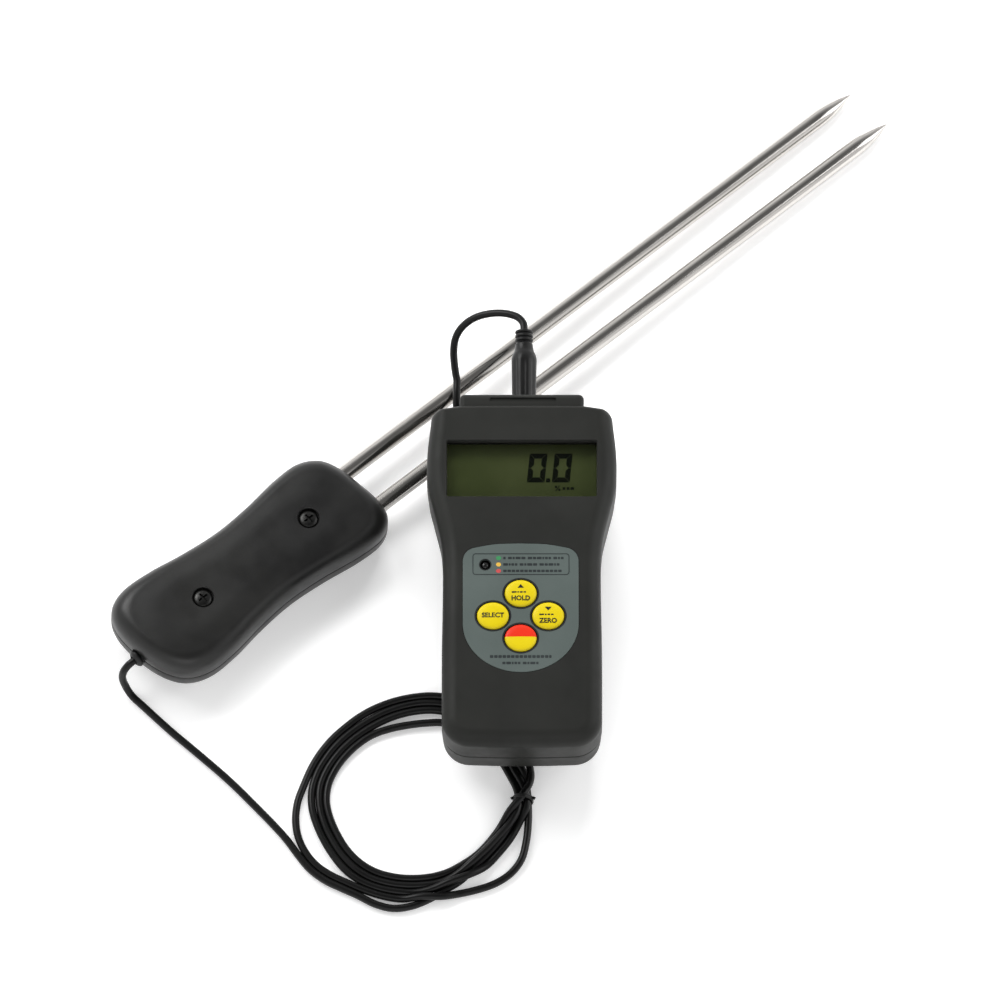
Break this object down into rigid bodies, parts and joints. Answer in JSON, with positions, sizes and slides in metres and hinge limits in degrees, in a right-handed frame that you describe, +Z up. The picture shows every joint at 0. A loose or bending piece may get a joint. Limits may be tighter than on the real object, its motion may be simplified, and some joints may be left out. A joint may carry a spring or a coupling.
{
  "type": "soil moisture meter",
  "caption": "Hand-held soil moisture meter with display and four keys, joined by a thin coiled lead and plug to a two-needle probe handle.",
  "frame": {"origin": "on the surface the object lies on, under the middle of the meter and probe together, lead left out", "axes": "+Z up out of the surface, +Y from the meter's foot towards its head and plug, +X towards the needles' points"},
  "size_m": [0.2653, 0.3002, 0.0432],
  "materials": {
    "case_grey": "moulded ABS, fine texture",
    "handle_black": "moulded, satin",
    "inner_plastic": "moulded",
    "rubber_black": "moulded rubber",
    "cord_black": "smooth flexible jacket",
    "label_teal": "printed film overlay",
    "key_yellow": "silicone key",
    "key_red": "silicone key, two colours",
    "window_clear": "clear window",
    "lcd_glass": "liquid crystal display",
    "lamp_lens": "lens",
    "circuit_board": "fibreglass board",
    "battery_jacket": "plain shrink sleeve",
    "contact_nickel": "nickel plated",
    "fastener_steel": "zinc plated",
    "needle_steel": "polished stainless steel",
    "insulator_ivory": "moulded insulator",
    "wire_red": "insulated wire",
    "wire_black": "insulated wire"
  },
  "bodies": {
    "root": {"battery_1": "battery_jacket", "battery_2": "battery_jacket", "battery_3": "battery_jacket", "battery_4": "battery_jacket", "battery_spring_1": "contact_nickel", "battery_spring_2": "contact_nickel", "battery_spring_3": "contact_nickel", "battery_spring_4": "contact_nickel", "battery_tray": "inner_plastic", "buzzer": "inner_plastic", "case_screw_1": "fastener_steel", "case_screw_2": "fastener_steel", "case_screw_3": "fastener_steel", "case_screw_4": "fastener_steel", "connector_socket": "inner_plastic", "contact_strip_foot": "contact_nickel", "contact_strip_head": "contact_nickel", "cord_anchor": "inner_plastic", "cord_coil": "cord_black", "cord_grommet": "rubber_black", "cord_meter_run": "cord_black", "cord_probe_run": "cord_black", "cord_tie": "cord_black", "display_window": "window_clear", "end_block": "case_grey", "front_case": "case_grey", "handle_lower_shell": "handle_black", "handle_screw_front": "fastener_steel", "handle_screw_rear": "fastener_steel", "handle_upper_shell": "handle_black", "keypad_mat": "rubber_black", "label_plate": "label_teal", "lcd_frame": "inner_plastic", "lcd_module": "lcd_glass", "lead_wire_left": "wire_red", "lead_wire_right": "wire_black", "main_board": "circuit_board", "needle_block": "insulator_ivory", "needle_left": "needle_steel", "needle_nut_left": "fastener_steel", "needle_nut_right": "fastener_steel", "needle_right": "needle_steel", "processor_chip": "inner_plastic", "rear_case": "case_grey", "status_led": "lamp_lens", "terminal_lug_left": "contact_nickel", "terminal_lug_right": "contact_nickel"},
    "plug": {"plug_body": "rubber_black", "plug_collar": "rubber_black", "plug_pin": "fastener_steel", "cord_loop": "cord_black"},
    "battery_door": {"battery_door": "case_grey"},
    "key_hold": {"key_hold": "key_yellow"},
    "key_select": {"key_select": "key_yellow"},
    "key_zero": {"key_zero": "key_yellow"},
    "key_power": {"key_power": "key_red"}
  },
  "joints": [
    {"name": "key_hold_press", "type": "slide", "parent": "root", "child": "key_hold", "axis": [0, 0.0506, -0.9987], "range_m": [0, 0.0006], "stiffness_N_per_m": 800, "springref_m": -0.0005},
    {"name": "key_select_press", "type": "slide", "parent": "root", "child": "key_select", "axis": [0, 0.0506, -0.9987], "range_m": [0, 0.0006], "stiffness_N_per_m": 800, "springref_m": -0.0005},
    {"name": "key_zero_press", "type": "slide", "parent": "root", "child": "key_zero", "axis": [0, 0.0506, -0.9987], "range_m": [0, 0.0006], "stiffness_N_per_m": 800, "springref_m": -0.0005},
    {"name": "key_power_press", "type": "slide", "parent": "root", "child": "key_power", "axis": [0, 0.0506, -0.9987], "range_m": [0, 0.0006], "stiffness_N_per_m": 800, "springref_m": -0.0005},
    {"name": "plug_pull", "type": "slide", "parent": "root", "child": "plug", "axis": [0, 0.9987, 0.0506], "range_m": [0, 0.012]},
    {"name": "battery_door_slide", "type": "slide", "parent": "root", "child": "battery_door", "axis": [0, -0.9987, -0.0506], "range_m": [0, 0.006]}
  ]
}
